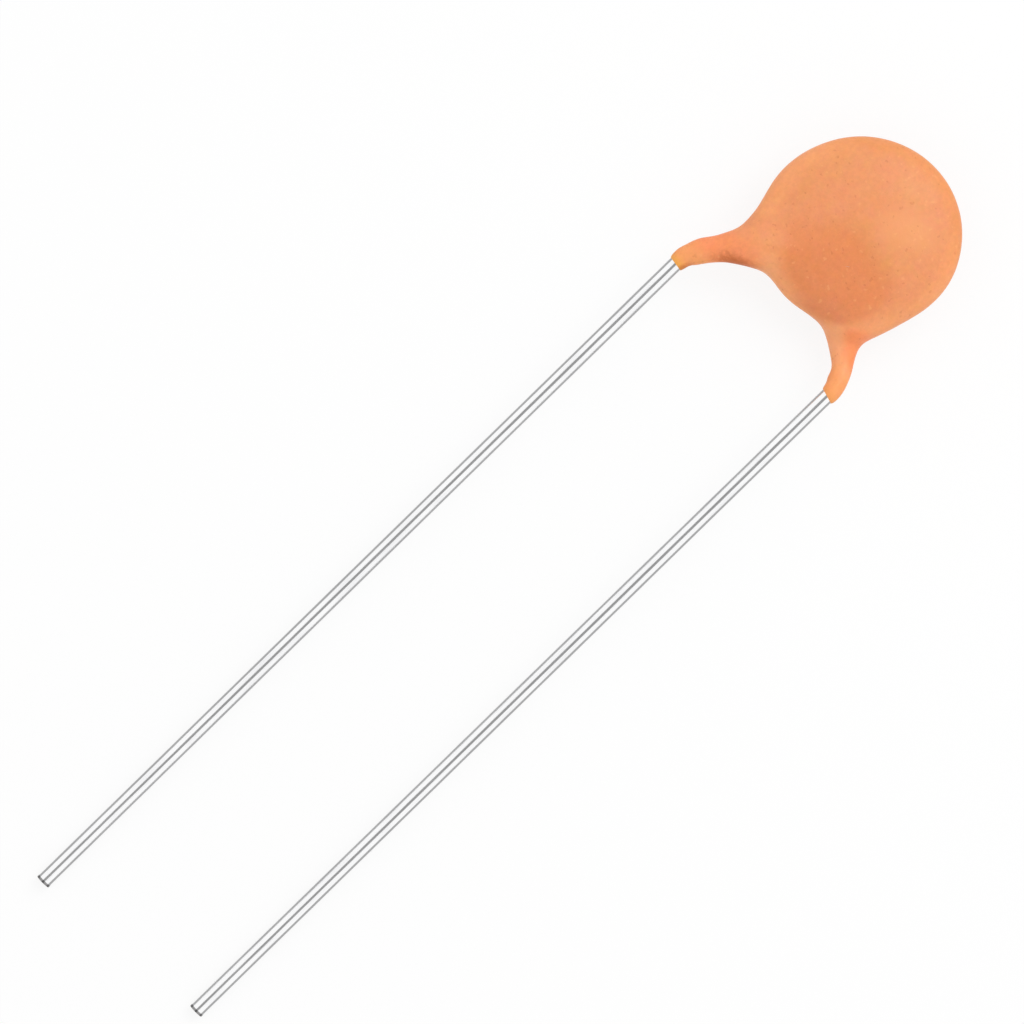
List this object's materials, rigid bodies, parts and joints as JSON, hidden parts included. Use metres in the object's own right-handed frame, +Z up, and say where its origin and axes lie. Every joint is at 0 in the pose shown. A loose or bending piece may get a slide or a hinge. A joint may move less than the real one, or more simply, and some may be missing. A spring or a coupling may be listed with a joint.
{
  "type": "ceramic disc capacitor",
  "caption": "Radial-lead ceramic disc capacitor: a small round resin-coated disc with two long parallel tinned wire leads, lying on its back.",
  "frame": {"origin": "middle of the bounding box's bottom, on the table that the part lies on", "axes": "+Y along the leads, from their tips towards the disc; +Z up from the table, out of the disc's front face; +X across the leads, towards the rear lead"},
  "size_m": [0.0056, 0.0284, 0.0021],
  "materials": {
    "resin_coat": "matte orange dipped resin, slightly uneven",
    "ceramic": "fired, bare",
    "silver": "fired silver paste, matte",
    "solder": "smooth solder, satin",
    "tinned_wire": "bright tinned wire"
  },
  "bodies": {
    "root": {"coating": "resin_coat", "ceramic_disc": "ceramic", "front_electrode": "silver", "rear_electrode": "silver", "front_solder": "solder", "rear_solder": "solder", "front_lead": "tinned_wire", "rear_lead": "tinned_wire"}
  },
  "joints": []
}
